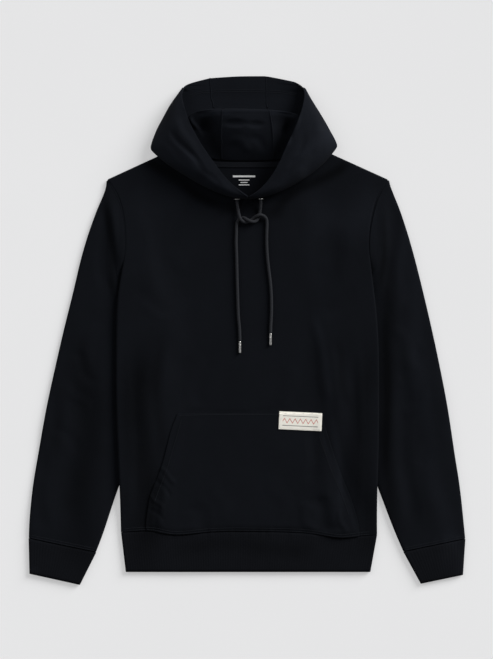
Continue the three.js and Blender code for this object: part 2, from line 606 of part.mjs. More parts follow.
const labelGrid = [];
const labelTurn = THREE.MathUtils.degToRad(LABEL.turn);
for (let i = 0; i <= 3; i++) {
  const line = [];
  for (let j = 0; j <= 6; j++) {
    const across = (j / 6 - 0.5) * LABEL.width;
    const up = (i / 3 - 0.5) * LABEL.height;
    const x = LABEL.middle[0] + across * Math.cos(labelTurn) - up * Math.sin(labelTurn);
    const y = LABEL.middle[1] + across * Math.sin(labelTurn) + up * Math.cos(labelTurn);
    line.push(onFront(x, y, POCKET_LIFT + CLOTH + SEAM + 0.2 + LABEL.thickness / 2));
  }
  labelGrid.push(line);
}
add("label", wall(labelGrid.toReversed(), { thickness: LABEL.thickness }), WOVEN);

// A hood panel: each table row becomes a smooth profile, and smooth lines join like stations
function hoodPanel(rows, perRow, perStation) {
  const profiles = rows.map((row) => {
    const curve = new THREE.CatmullRomCurve3(STATIONS.map((name) => new THREE.Vector3(...row[name])));
    const steps = (STATIONS.length - 1) * perStation;
    return Array.from({ length: steps + 1 }, (_, k) => curve.getPoint(k / steps));
  });
  const columns = profiles[0].map(
    (_, k) => new THREE.CatmullRomCurve3(profiles.map((profile) => profile[k])),
  );
  const steps = (rows.length - 1) * perRow;
  const onSurface = (point) => point.setZ(Math.max(point.z, HALF));
  return Array.from({ length: steps + 1 }, (_, i) =>
    columns.map((curve) => onSurface(curve.getPoint(i / steps))),
  );
}

// A table row moved across, for the far side of a seam
function besideSeam(row, shift) {
  const moved = {};
  for (const name of STATIONS) moved[name] = [row[name][0] + shift, row[name][1], row[name][2]];
  return moved;
}

const centreRows = [
  besideSeam(HOOD_LEFT[HOOD_LEFT.length - 1], SEAM + 0.2),
  ...HOOD_CENTRE,
  besideSeam(HOOD_RIGHT[0], -SEAM - 0.4),
];
add("hood_left", wall(hoodPanel(HOOD_LEFT, 1, HOOD_STEPS)), FLEECE);
add("hood_centre", wall(hoodPanel(centreRows, 3, HOOD_STEPS)), FLEECE);
add("hood_right", wall(hoodPanel(HOOD_RIGHT, 1, HOOD_STEPS)), FLEECE);

// Tape over the neck seam, on the inside of the back
const tapeGrid = [];
for (let i = 0; i <= 1; i++) {
  const line = [];
  for (let j = 0; j <= 10; j++) {
    const x = mix(-TAPE.halfWidth, TAPE.halfWidth, j / 10);
    const seam = panelTop(x, NECK.backDrop, 4) - TAPE.below;
    line.push(new THREE.Vector3(x, seam - (1 - i) * TAPE.depth, CLOTH + SEAM + TAPE.thickness / 2));
  }
  tapeGrid.push(line);
}
add("neck_tape", wall(tapeGrid.toReversed(), { thickness: TAPE.thickness }), FLEECE);

// Eyelets in the hood's front edge, facing the hem, and the cords that come out of them
function eyelet(name, place) {
  const profile = [
    [EYELET.inner, 0], [EYELET.outer, 0], [EYELET.outer, EYELET.depth * 0.5],
    [(EYELET.inner + EYELET.outer) / 2, EYELET.depth], [EYELET.inner, EYELET.depth * 0.6], [EYELET.inner, 0],
  ].map(([r, h]) => new THREE.Vector2(r, h));
  const ring = add(name, new THREE.LatheGeometry(profile, EYELET.sides), METAL);
  ring.position.set(...place);
  ring.rotation.x = Math.PI;
}

function cordTube(name, route) {
  const path = new THREE.CatmullRomCurve3(route.map((point) => new THREE.Vector3(...point)));
  const section = new THREE.Shape();
  for (let k = 0; k < CORD.sides; k++) {
    const a = (2 * Math.PI * k) / CORD.sides;
    const point = [Math.cos(a), Math.sin(a)].map((v) => (v * CORD.diameter) / 2);
    if (k === 0) section.moveTo(...point);
    else section.lineTo(...point);
  }
  section.closePath();
  add(name, new THREE.ExtrudeGeometry(section, { steps: CORD.steps, extrudePath: path }), CORD_YARN);
}

function aglet(name, end) {
  const tip = add(
    name,
    new THREE.CylinderGeometry(AGLET.diameter / 2, AGLET.diameter / 2, AGLET.length, AGLET.sides),
    METAL,
  );
  tip.position.set(end[0], end[1] - SEAM - AGLET.length / 2, end[2]);
}

eyelet("eyelet_left", [-17, 222.9, 17]);
eyelet("eyelet_right", [23.5, 223.3, 17]);
cordTube("drawcord_left", CORD_LEFT);
cordTube("drawcord_right", CORD_RIGHT);
aglet("aglet_left", CORD_LEFT[CORD_LEFT.length - 1]);
aglet("aglet_right", CORD_RIGHT[CORD_RIGHT.length - 1]);

export default hoodie;
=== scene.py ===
# A pullover hoodie in heavy black fleece, laid out flat with its front up and seen from straight above.
# Metres, +Z up from the surface, +Y towards the hood, +X to the right of the picture.
import math

import bmesh
import bpy
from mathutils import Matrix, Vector, noise
from mathutils.bvhtree import BVHTree


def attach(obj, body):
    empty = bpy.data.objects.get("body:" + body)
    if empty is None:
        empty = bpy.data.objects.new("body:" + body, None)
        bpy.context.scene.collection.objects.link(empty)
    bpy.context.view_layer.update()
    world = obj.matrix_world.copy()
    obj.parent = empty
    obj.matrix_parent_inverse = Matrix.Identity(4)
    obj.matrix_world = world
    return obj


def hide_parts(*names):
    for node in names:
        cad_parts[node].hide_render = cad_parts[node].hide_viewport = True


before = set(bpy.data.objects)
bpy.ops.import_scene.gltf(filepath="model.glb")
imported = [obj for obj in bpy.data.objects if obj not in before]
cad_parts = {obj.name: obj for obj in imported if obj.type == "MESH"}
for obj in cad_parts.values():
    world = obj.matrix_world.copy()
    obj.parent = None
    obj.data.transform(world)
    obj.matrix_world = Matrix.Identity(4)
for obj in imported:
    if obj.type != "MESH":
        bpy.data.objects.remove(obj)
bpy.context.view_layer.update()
MM = 0.001

# Camera, straight above the garment and far enough away that the hood looks hardly larger than the hem
PIXEL = 1.7 * MM
PHOTO = (493, 659)
PHOTO_ORIGIN = (247, 330.5)  # the pixel over the frame's origin
LENS = 150
SENSOR = 36
lens_data = bpy.data.cameras.new("camera")
lens_data.lens = LENS
lens_data.sensor_width = SENSOR
lens_data.clip_end = 20
camera = bpy.data.objects.new("camera", lens_data)
camera.location = (
    (PHOTO[0] / 2 - PHOTO_ORIGIN[0]) * PIXEL,
    (PHOTO_ORIGIN[1] - PHOTO[1] / 2) * PIXEL,
    PHOTO[1] * PIXEL * LENS / SENSOR,
)
bpy.context.collection.objects.link(camera)
bpy.context.scene.camera = camera


# Drawcords. One braided cotton cord runs through the hood's casing, and its two ends come out of the
# eyelets, cross in a half knot and lie down the chest. Each ends in a crimped metal tip.
CORD = 5 * MM
CORD_SIDES = 24
BRAID_TURNS = 5
BRAID_PITCH = 5.2 * MM
BRAID_RELIEF = 0.16 * MM
TIP = {"diameter": 4.6 * MM, "length": 20 * MM, "gap": 0.3 * MM}
CORD_LEFT = [
    (-17, 222.4, 17), (-16.4, 213, 15), (-15, 204, 13.2), (-13.4, 196.5, 15.4), (-11.5, 190, 16.5),
    (-7.6, 185.4, 15), (-2, 183.6, 12), (3.6, 185.2, 10.5), (8.4, 188.6, 10.4), (13, 192, 12.2),
    (17.6, 194.8, 15.4), (22.8, 196, 16.5), (28.6, 194, 14), (32.8, 189.4, 11.4), (34, 182, 10.4),
    (33.6, 168, 10.4), (33.4, 150, 10.4), (34.6, 126, 10.4), (37.4, 100, 10.4), (40, 78, 10.4),
    (41.4, 54, 10.4), (41.4, 28, 10.4), (40.4, 8, 10.4), (40, -4.8, 10.4),
]
CORD_RIGHT = [
    (23.5, 222.8, 17), (23.2, 213, 14), (22.4, 204, 11.2), (21.3, 197.4, 10.4), (19.6, 191.4, 10.4),
    (16.2, 186.6, 12.2), (10.6, 184.4, 15.2), (4.8, 185.8, 16.6), (-0.8, 188.8, 15), (-5.6, 191.2, 11.8),
    (-11.2, 190.4, 10.4), (-15.4, 186.2, 10.4), (-17.4, 180, 10.4), (-18, 166, 10.4), (-18.4, 150, 10.4),
    (-17.6, 126, 10.4), (-17, 100, 10.4), (-16, 62, 10.4), (-14.6, 24, 10.4), (-12.8, 4, 10.4),
    (-11.9, -17.9, 10.4),
]


class Shade:
    """A socket in a material's nodes. Sums on values add Math nodes, and make adds any other node."""

    def __init__(self, tree, socket=None):
        self.tree = tree
        self.socket = socket

    def make(self, kind, settings=None, sockets=None, out=0):
        node = self.tree.nodes.new(kind)
        for name, value in (settings or {}).items():
            setattr(node, name, value)
        for key, value in (sockets or {}).items():
            if isinstance(value, Shade):
                self.tree.links.new(value.socket, node.inputs[key])
            else:
                node.inputs[key].default_value = value
        return Shade(self.tree, node.outputs[out])

    def sum(self, operation, a, b=0.0):
        return self.make("ShaderNodeMath", {"operation": operation}, {0: a, 1: b})

    def __add__(self, other):
        return self.sum("ADD", self, other)

    def __sub__(self, other):
        return self.sum("SUBTRACT", self, other)

    def __mul__(self, other):
        return self.sum("MULTIPLY", self, other)

    def __lt__(self, other):
        return self.sum("LESS_THAN", self, other)

    def __gt__(self, other):
        return self.sum("GREATER_THAN", self, other)

    def __mod__(self, other):
        return self.sum("FLOORED_MODULO", self, other)

    def __abs__(self):
        return self.sum("ABSOLUTE", self)

    def wave(self, pitch):
        """From 0 in the grooves to 1 on the crests of ridges, one to a pitch."""
        return self.sum("SINE", self * (2 * math.pi / pitch)) * 0.5 + 0.5

    def mix(self, mask, a, b):
        return self.make("ShaderNodeMix", {"data_type": "RGBA"}, {0: mask, 6: a, 7: b}, out=2)

    def axes(self, coordinates, turn=0.0):
        """x, y and z of the coordinates, turned about z."""
        turned = self.make("ShaderNodeMapping", sockets={0: coordinates, "Rotation": (0, 0, turn)})
        split = self.make("ShaderNodeSeparateXYZ", sockets={0: turned})
        return [Shade(self.tree, split.socket.node.outputs[k]) for k in range(3)]

    def noise(self, coordinates, scale, detail=2.0):
        sockets = {"Vector": coordinates, "Scale": scale, "Detail": detail}
        return self.make("ShaderNodeTexNoise", sockets=sockets)


def material(name, recipe, **values):
    """A Principled material. values are its plain sockets, and recipe gives the links of the others."""
    made = bpy.data.materials.new(name)
    made.use_nodes = True
    tree = made.node_tree
    shader = tree.nodes["Principled BSDF"]
    for socket, value in values.items():
        shader.inputs[socket.replace("_", " ")].default_value = value
    for socket, value in recipe(Shade(tree)).items():
        tree.links.new(value.socket, shader.inputs[socket])
    return made


def bumped(start, height, depth, strength=1.0):
    return start.make("ShaderNodeBump", sockets={"Height": height, "Distance": depth, "Strength": strength})


def smooth_route(points, per_span):
    """Points on one smooth curve through all the points."""
    ends = [2 * points[0] - points[1], *points, 2 * points[-1] - points[-2]]
    route = []
    for a, b, c, d in zip(ends, ends[1:], ends[2:], ends[3:]):
        before, span, after = ((q - p).length ** 0.5 for p, q in ((a, b), (b, c), (c, d)))
        leave = ((b - a) / before - (c - a) / (before + span) + (c - b) / span) * span
        arrive = ((c - b) / span - (d - b) / (span + after) + (d - c) / after) * span
        for k in range(per_span):
            t = k / per_span
            route.append(
                b * (2 * t**3 - 3 * t**2 + 1) + leave * (t**3 - 2 * t**2 + t)
                + c * (3 * t**2 - 2 * t**3) + arrive * (t**3 - t**2)
            )
    route.append(points[-1])
    return route


def route_length(route):
    return sum((b - a).length for a, b in zip(route, route[1:]))


def even_route(route, spacing):
    """The same route with its points evenly apart."""
    count = max(2, round(route_length(route) / spacing))
    step = route_length(route) / count
    even = [route[0].copy()]
    gone = 0.0
    for a, b in zip(route, route[1:]):
        span = (b - a).length
        while span > 0 and gone + span >= step * len(even) and len(even) < count:
            even.append(a.lerp(b, (step * len(even) - gone) / span))
        gone += span
    return even + [route[-1].copy()]


def skin(columns, rows, place):
    """A grid of faces whose corners place(u, v) puts where they belong, both from 0 to 1."""
    bm = bmesh.new()
    bm.loops.layers.uv.new("UVMap")
    bmesh.ops.create_grid(bm, x_segments=columns, y_segments=rows, size=0.5, calc_uvs=True)
    for vert in bm.verts:
        vert.co = place(min(1, max(0, vert.co.x + 0.5)), min(1, max(0, vert.co.y + 0.5)))
    bmesh.ops.remove_doubles(bm, verts=bm.verts, dist=0.01 * MM)
    return bm


def tube(route, sides, radius):
    """A closed tube along a route. radius(u, v) is its radius round the tube and along it."""
    last = len(route) - 1
    ways = [(route[min(last, k + 1)] - route[max(0, k - 1)]).normalized() for k in range(last + 1)]
    sides_on = []
    side = ways[0].orthogonal().normalized()
    for way in ways:
        side = (side - way * side.dot(way)).normalized()
        sides_on.append((side.copy(), way.cross(side)))

    def place(u, v):
        k = round(v * last)
        a, b = sides_on[k]
        angle = 2 * math.pi * u
        return route[k] + radius(u, v) * (a * math.cos(angle) + b * math.sin(angle))

    bm = skin(sides, last, place)
    bmesh.ops.holes_fill(bm, edges=bm.edges)
    bmesh.ops.recalc_face_normals(bm, faces=bm.faces)
    return bm


def piece(name, bm, finish, nodes=()):
    """A finished piece that rides on the garment, and stands for its CAD nodes."""
    mesh = bpy.data.meshes.new(name)
    bm.to_mesh(mesh)
    bm.free()
    mesh.shade_smooth()
    mesh.materials.append(finish)
    made = bpy.data.objects.new(name, mesh)
    bpy.context.collection.objects.link(made)
    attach(made, "root")
    if nodes:
        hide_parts(*nodes)
    return made


def braided_cotton(start):
    where = start.make("ShaderNodeTexCoord", out=3)
    speck = start.noise(where, 900)
    fibre = start.noise(where, 2600, 3)
    colour = start.mix(speck, (0.0075, 0.008, 0.0098, 1), (0.019, 0.0202, 0.024, 1))
    return {"Base Color": colour, "Normal": bumped(start, fibre, 0.15 * MM)}


def satin_metal(start):
    where = start.make("ShaderNodeTexCoord", out=3)
    wear = start.noise(where, 500, 4)
    return {
        "Base Color": start.mix(wear, (0.42, 0.41, 0.39, 1), (0.66, 0.65, 0.62, 1)),
        "Roughness": wear * 0.25 + 0.18,
        "Normal": bumped(start, start.noise(where, 1500), 0.02 * MM),
    }


cotton_braid = material(
    "braided_cotton", braided_cotton, Roughness=0.9, Sheen_Weight=0.02, Specular_IOR_Level=0.2
)
metal = material("satin_metal", satin_metal, Metallic=1.0)


def braid(u, v, length):
    """Relief of two sets of strands that wind round the cord in opposite ways."""
    along = v * length / BRAID_PITCH
    over = abs(math.sin(math.pi * (BRAID_TURNS * u + along)))
    under = abs(math.sin(math.pi * (BRAID_TURNS * u - along)))
    return over * under - 0.4


def tip_radius(u, v):
    """A crimped tip: full between its rolled ends, with two shallow rings."""
    end = min(v, 1 - v) * TIP["length"]
    rolled = min(1, end / (0.8 * MM))
    ring = sum(math.exp(-(((v - at) * TIP["length"] / (0.5 * MM)) ** 2)) for at in (0.14, 0.24))
    return TIP["diameter"] / 2 * (0.72 + 0.28 * math.sqrt(1 - (1 - rolled) ** 2)) - 0.18 * MM * ring


CORD_ENDS = {"left": CORD_LEFT, "right": CORD_RIGHT}
for side, points in CORD_ENDS.items():
    route = even_route(smooth_route([Vector(p) * MM for p in points], 12), 0.7 * MM)
    length = route_length(route)
    shape = tube(
        route, CORD_SIDES, lambda u, v, length=length: CORD / 2 + BRAID_RELIEF * braid(u, v, length)
    )
    cord = piece("cord_braid_" + side, shape, cotton_braid, ["drawcord_" + side])
    start = route[-1] + Vector((0, -TIP["gap"], 0))
    tip_route = [start + Vector((0, -TIP["length"] * k / 40, 0)) for k in range(41)]
    tip = piece("cord_tip_" + side, tube(tip_route, 28, tip_radius), metal, ["aglet_" + side])
    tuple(route[0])
    [list(p) for p in route]


# Eyelets. Two-part metal rings clenched in the lower corners of the hood's casing, facing the hem. Each
# has a rolled rim and a short barrel inside.
EYELETS = {"left": (-17, 222.2, 17), "right": (23.5, 222.6, 17)}
EYELET = {"middle": 4.35 * MM, "half_width": 1.25 * MM, "half_depth": 0.68 * MM}
for side, at in EYELETS.items():
    centre = Vector(at) * MM

    def rim(u, v, centre=centre):
        around = 2 * math.pi * u
        section = 2 * math.pi * v
        r = EYELET["middle"] + EYELET["half_width"] * math.cos(section)
        y = EYELET["half_depth"] * math.sin(section)
        return centre + Vector((r * math.cos(around), y, r * math.sin(around)))

    ring = skin(56, 20, rim)
    bmesh.ops.recalc_face_normals(ring, faces=ring.faces)
    piece("eyelet_ring_" + side, ring, metal, ["eyelet_" + side])


# Body. Front and back are cut in heavy fleece, smooth outside and napped inside. The front lies on the
# back, both run over the sleeves at the sides, and soft folds fall from the chest to the waistband.
CLOTH = 2 * MM
BODY_FOLDS = [
    # from, to, width, rise, in millimetres
    ((168, 20), (167, -344), 56, -3.1),
    ((132, -10), (134, -344), 40, 0.9),
    ((198, -10), (198, -342), 30, 1.0),
    ((-134, -10), (-138, -344), 60, 1.8),
    ((-192, -20), (-190, -342), 60, -2.9),
    ((112, 30), (140, -130), 30, 1.3),
    ((-112, 60), (-116, -60), 54, 1.1),
    ((-196, 70), (-124, 26), 34, -0.7),
    ((-188, 40), (-110, 12), 28, 0.4),
    ((192, 66), (126, 24), 32, -0.6),
    ((186, 40), (116, 4), 28, 0.4),
    ((-119, -138.6), (58, -137.4), 6, -1.4),
    ((-70, -20), (-84, -136), 44, -0.9),
    ((74, -50), (66, -138), 40, 0.8),
    ((-150, 186), (-112, 90), 44, 0.9),
    ((158, 196), (120, 96), 44, 0.8),
    ((-204, 236), (-120, 214), 26, 0.9),
    ((204, 236), (128, 214), 26, 0.9),
]


def soft(value):
    t = min(1, max(0, value))
    return t * t * (3 - 2 * t)


def fold(x, y, start, end, width, rise):
    """Height of one soft fold at a place: full along its middle, gone at its sides and ends."""
    along_x, along_y = end[0] - start[0], end[1] - start[1]
    off_x, off_y = x - start[0], y - start[1]
    length = math.hypot(along_x, along_y)
    t = (off_x * along_x + off_y * along_y) / length**2
    if t <= 0 or t >= 1:
        return 0.0
    bow = 0.12 * width * math.sin(2.6 * math.pi * t + start[0])
    aside = abs((off_x * along_y - off_y * along_x) / length + bow) / (width / 2)
    if aside >= 1:
        return 0.0
    return rise * soft(1 - aside) * soft(t / 0.25) * soft((1 - t) / 0.2)


PAINTED_LIGHT_AND_SHADE_BANDS = [
    # Painted light and shade: each row paints the cloth's colour darker, as painted shade in the hollows at
    # its sides, along the hem seam and the waistband and as a painted shadow under the hood, or paler, as
    # painted light where the light falls more strongly. Each row: from, to, width in millimetres, and how
    # much paler.
    ((-174, 20), (-180, -420), 92, -0.36), ((-150, 10), (-146, -230), 30, -0.18),
    ((202, 30), (202, -420), 62, -0.26), ((150, 0), (174, -140), 24, -0.2),
    ((232, 200), (248, -400), 42, -0.34), ((236, 60), (236, -270), 22, -0.22),
    ((-284, 30), (-270, -450), 92, -0.28), ((-322, -60), (-318, -230), 34, -0.14),
    ((-241, 240), (-222, 44), 20, -0.3), ((236, 220), (226, 50), 16, -0.2),
    ((264, 200), (264, 30), 32, 0.24), ((270, 180), (314, -220), 46, 0.26),
    ((304, -160), (350, -430), 50, 0.26), ((350, -330), (370, -460), 34, 0.36),
    ((-206, 236), (-104, 196), 96, 0.15), ((88, 176), (240, 214), 120, 0.26),
    ((128, 220), (124, -40), 76, 0.14), ((116, 50), (145, -150), 24, 0.26),
    ((142, -110), (165, -320), 20, 0.24),
    ((-26, 200), (-186, 296), 32, -0.44), ((-64, 202), (76, 202), 34, -0.3),
    ((30, 200), (186, 296), 32, -0.46), ((-140, -366), (130, -368), 46, -0.2),
    ((-130, -339), (110, -339), 14, -0.2), ((-380, -400), (-350, -420), 30, 0.2),
    ((-168, 338), (-76, 256), 56, 0.34), ((150, 356), (84, 256), 64, 0.3),
    ((-84, 262), (-2, 224), 30, 0.26), ((80, 262), (6, 224), 30, 0.2),
    ((-90, 363), (-24, 369), 13, 0.5), ((36, 369), (88, 362), 13, 0.4), ((-48, 310), (44, 310), 52, 0.26),
]


# How much paler the colour is painted at a place, as painted light; below zero, darker, as painted shade.
def painted_light_and_shade(x, y):
    return sum(fold(x, y, *row) for row in PAINTED_LIGHT_AND_SHADE_BANDS)


def unevenness(x, y, seed, size=90.0, height=0.7):
    place = Vector((x / size, y / (1.4 * size), seed))
    return height * (noise.noise(place) + 0.45 * noise.noise(place * 2.7))


HEM_LINE = [(-216, -343), (-164, -340), (-122, -347), (-60, -342), (0, -341), (100, -344), (158, -352),
            (190, -349), (222, -347)]


def between(rows, at):
    """A smooth value between the rows of a table, held past its ends."""
    if at <= rows[0][0]:
        return rows[0][1]
    if at >= rows[-1][0]:
        return rows[-1][1]
    i = next(k for k in range(len(rows) - 1) if at <= rows[k + 1][0])
    slopes = []
    for n in (i, i + 1):
        a, b = rows[max(0, n - 1)], rows[min(len(rows) - 1, n + 1)]
        slopes.append((b[1] - a[1]) / (b[0] - a[0]))
    span = rows[i + 1][0] - rows[i][0]
    t = (at - rows[i][0]) / span
    a, b = (slope * span for slope in slopes)
    rise = rows[i + 1][1] - rows[i][1]
    return rows[i][1] + t * (a + t * (3 * rise - 2 * a - b + t * (a + b - 2 * rise)))


def puckers(along, away, seed, reach=16.0, height=0.7):
    """Small ripples along a seam, gone at reach from it."""
    near = soft(1 - abs(away) / reach)
    return height * near * noise.noise(Vector((along / 9, seed, 0)))


FOLDS_END = {"side": 204, "top": 185}
CORD_LANE = {"middle": 12, "half_width": 36, "foot": -45}  # stays even, so that the cords lie on the cloth


def front_field(x, y):
    """What the folds add to the height of the front, in millimetres."""
    inside = soft((FOLDS_END["side"] - abs(x)) / 20) * (1 - soft((y - FOLDS_END["top"]) / 45))
    clear = abs(x - CORD_LANE["middle"]) - CORD_LANE["half_width"]
    if y <= CORD_LANE["foot"] - 15:
        clear = max(clear, CORD_LANE["foot"] - y)
    height = sum(fold(x, y, *row) for row in BODY_FOLDS)
    height += unevenness(x, y, 3.1) * soft(clear / 40)
    height += puckers(x, y - between(HEM_LINE, x), 7.7)
    return height * inside


RIM_ANGLE = math.radians(55)


def fine_copy(node, levels, rim=0.8):
    """The node's wall of cloth as a fine mesh of quads. rim says how sharp its cut edges stay, up to 1."""
    bm = bmesh.new()
    bm.from_mesh(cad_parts[node].data)
    bmesh.ops.remove_doubles(bm, verts=bm.verts, dist=0.005 * MM)
    bmesh.ops.join_triangles(
        bm, faces=bm.faces, angle_face_threshold=math.radians(50), angle_shape_threshold=math.radians(60)
    )
    crease = bm.edges.layers.float.new("crease_edge")
    for edge in bm.edges:
        if len(edge.link_faces) == 2 and edge.calc_face_angle() > RIM_ANGLE:
            edge[crease] = rim
    coarse = bpy.data.meshes.new("coarse_" + node)
    bm.to_mesh(coarse)
    bm.free()
    draft = bpy.data.objects.new("draft_" + node, coarse)
    bpy.context.collection.objects.link(draft)
    divide = draft.modifiers.new("divide", "SUBSURF")
    divide.levels = divide.render_levels = levels
    bpy.context.view_layer.update()
    fine = bmesh.new()
    fine.from_object(draft, bpy.context.evaluated_depsgraph_get())
    bpy.data.objects.remove(draft)
    bpy.data.meshes.remove(coarse)
    return fine


def note_painted_shading(bm):
    """Notes at each vertex its painted light and shade: how much paler or darker its colour is painted."""
    painted_shading = bm.verts.layers.float.new("painted_light_and_shade")
    for vert in bm.verts:
        vert[painted_shading] = painted_light_and_shade(vert.co.x / MM, vert.co.y / MM)
    return bm


def lifted(bm, height, weight=lambda co: 1.0):
    """Moves each vertex up by height(x, y), in millimetres, times its weight."""
    # Also notes each vertex's painted light and shade.
    note_painted_shading(bm)
    for vert in bm.verts:
        w = weight(vert.co)
        if w > 0:
            vert.co.z += w * height(vert.co.x / MM, vert.co.y / MM) * MM
    return bm


NECK_PRINT = [  # plain bars: left, right, top, bottom
    (-24, 14, 263.5, 260.5), (-14, 4, 256.5, 254.9), (-11, 1, 252.4, 250.8), (-14, 4, 248.3, 246.7),
]


def fleece_face(start, turn=0.0, light=1.0):
    """Fine knitted face of the fleece: columns of stitches with a short soft nap."""
    where = start.make("ShaderNodeTexCoord", out=3)
    x, y, z = start.axes(where, turn)
    columns = (x + z * 0.6).wave(1.15 * MM)
    rows = (y + z * 0.4).wave(0.85 * MM)
    nap = start.noise(where, 420, 4)
    cloud = start.noise(where, 14, 3)
    # Painted light and shade: the vertex's painted value moves the colour paler or darker, and light makes
    # the whole colour paler as painted light.
    painted_shading = start.make("ShaderNodeAttribute", {"attribute_name": "painted_light_and_shade"}, out=2)
    dark = [v * light for v in (0.0014, 0.00165, 0.00225)] + [1]
    pale = [v * light for v in (0.0068, 0.0079, 0.0107)] + [1]
    colour = start.mix(nap * 0.28 + cloud * 0.22 + 0.25 + painted_shading, dark, pale)
    knit = bumped(start, columns * rows * 0.5 + nap * 0.8, 0.22 * MM, 0.8)
    return {"Base Color": colour, "Normal": knit}


KNIT = {"Roughness": 0.95, "Sheen_Weight": 0.012, "Sheen_Roughness": 0.5, "Specular_IOR_Level": 0.04}
fleece = material("fleece", fleece_face, **KNIT)


def printed_fleece(start):
    """The inside of the back neck, with plain white bars printed on it."""
    links = fleece_face(start)
    where = start.make("ShaderNodeTexCoord", out=3)
    x, y, _ = start.axes(where)
    marks = 0.0
    for left, right, top, bottom in NECK_PRINT:
        across = (x > left * MM) * (x < right * MM)
        marks = across * (y > bottom * MM) * (y < top * MM) + marks
    links["Base Color"] = start.mix(marks, links["Base Color"], (0.62, 0.62, 0.62, 1))
    return links


printed = material("printed_fleece", printed_fleece, **KNIT)

front_shape = lifted(fine_copy("front_body", 3), front_field)
front = piece("front_panel", front_shape, fleece, ["front_body"])
back = piece("back_panel", fine_copy("back_body", 2), printed, ["back_body"])


# Sleeves. Each is one panel sewn into a tube, set into the armhole and laid down beside the body, with
# soft folds at the elbow and where the cuff draws it in.
SLEEVE_FOLDS = {
    "left": [
        ((-233, 240), (-222, 40), 26, 2.2), ((-246, 232), (-244, 60), 30, -1.4),
        ((-250, 20), (-284, -70), 34, 1.2), ((-296, -30), (-258, -96), 30, -1.3),
        ((-312, -90), (-262, -140), 28, 1.0), ((-330, -150), (-280, -210), 32, -1.0),
        ((-284, -60), (-300, -352), 80, -3.0), ((-344, 20), (-352, -200), 40, 0.9),
        ((-352, -180), (-352, -350), 36, -1.0),
    ],
    "right": [
        ((236, 240), (224, 40), 26, 1.6), ((250, 232), (246, 60), 30, -1.2),
        ((250, 14), (288, -74), 34, 1.2), ((300, -24), (258, -90), 30, -1.3),
        ((318, -104), (262, -150), 30, 1.0), ((328, -170), (284, -230), 32, -1.0),
        ((306, -20), (330, -352), 90, 3.0), ((258, -60), (280, -350), 40, -1.8),
        ((336, 40), (350, -120), 40, 0.9),
    ],
}
CUFF_SEAMS = {
    "left": ((-371, -352.5), (-256, -376.5)),
    "right": ((265.3, -375.5), (371, -353.5)),
}
SLEEVE_TURN = math.radians(13)
BODY_SIDE = 208  # the sleeves' cloth stays as it is under the body
UNDERARM_SINK = {"depth": 1.8, "side": 250, "top": 70}
sleeves = {}
for side, folds in SLEEVE_FOLDS.items():
    seam = CUFF_SEAMS[side]

    def sleeve_field(x, y, folds=folds, seam=seam, seed=4.5 if side == "left" else 9.2):
        beside_body = soft((abs(x) - BODY_SIDE) / 14)
        height = sum(fold(x, y, *row) for row in folds) + unevenness(x, y, seed, 70, 0.9)
        near_body = soft((UNDERARM_SINK["side"] - abs(x)) / 34)
        height -= UNDERARM_SINK["depth"] * near_body * soft((UNDERARM_SINK["top"] - y) / 30)
        t = (x - seam[0][0]) / (seam[1][0] - seam[0][0])
        away = y - (seam[0][1] + t * (seam[1][1] - seam[0][1]))
        return (height * soft((away - 2) / 14) + puckers(x, away, seed, 20, 0.9)) * beside_body

    def upper_face(co):
        return soft((co.z - 3 * MM) / (3 * MM))

    finish = material(
        "sleeve_fleece_" + side,
        lambda start, turn=SLEEVE_TURN if side == "left" else -SLEEVE_TURN: fleece_face(start, turn),
        **KNIT,
    )
    shape = lifted(fine_copy("sleeve_" + side, 3, 0.85), sleeve_field, upper_face)
    sleeve = piece("sleeve_tube_" + side, shape, finish, ["sleeve_" + side])
    sleeves[side] = sleeve


# Cuffs and waistband. Each is a doubled tube of ribbed knit, folded along its lower edge and drawn in a
# little by the seam that joins it to the fleece.
RIB_PITCH = 4.2
RIB_DEPTH = 0.26
CUFFS = {
    "left": [((-371, -353), (-256, -377)), ((-369.6, -413), (-283.7, -432))],
    "right": [((371, -354), (265.5, -376)), ((367, -415), (295, -430))],
}
BAND_SIDES = [(-214, 221), (-206, 209.6)]
BAND_BOTTOM = -410
RIB_ROWS = 20
RIB_COLUMNS = 8
BEND_COLUMNS = 60
RIB_CROWD = 1.6  # crowds the rows towards the seam
SEAM_GROOVE = 1.3
FOLD_GROOVE = 0.5
FLAT = 7.5  # thickness of a tube laid flat, in millimetres


def ribbed_place(outer, inner, share, ribs):
    """A point on the outside of a flattened ribbed tube between two plan points, share of the way round."""
    across = inner - outer
    width = across.length
    way = across / width
    r = FLAT / 2
    straight = width - FLAT
    bend = math.pi * r
    gone = share * 2 * (straight + bend)
    if gone < bend:
        at = r - r * math.sin(gone / r)
        z = r - r * math.cos(gone / r)
    elif gone < bend + straight:
        at = r + gone - bend
        z = FLAT
        phase = (gone - bend) / straight * ribs
        edge = soft(min(gone - bend, bend + straight - gone) / 3)
        z -= RIB_DEPTH * (0.5 + 0.5 * math.cos(2 * math.pi * phase)) * edge
    elif gone < 2 * bend + straight:
        angle = (gone - bend - straight) / r
        at = r + straight + r * math.sin(angle)
        z = r + r * math.cos(angle)
    else:
        at = r + straight - (gone - 2 * bend - straight)
        z = 0.0
    spot = outer + way * at
    return Vector((spot.x, spot.y, z))


def drawn_in(z, v):
    """A height in a tube, drawn in by the seam at v = 0 and a little by the folded edge at v = 1."""
    drawn = SEAM_GROOVE * soft(1 - v / 0.045) + FOLD_GROOVE * soft((v - 0.94) / 0.06)
    return z + (FLAT / 2 - z) * 2 * drawn / FLAT


def walled(bm, thickness):
    """Gives a skin its thickness, inwards."""
    bmesh.ops.recalc_face_normals(bm, faces=bm.faces)
    bmesh.ops.solidify(bm, geom=bm.faces, thickness=thickness)
    return bm


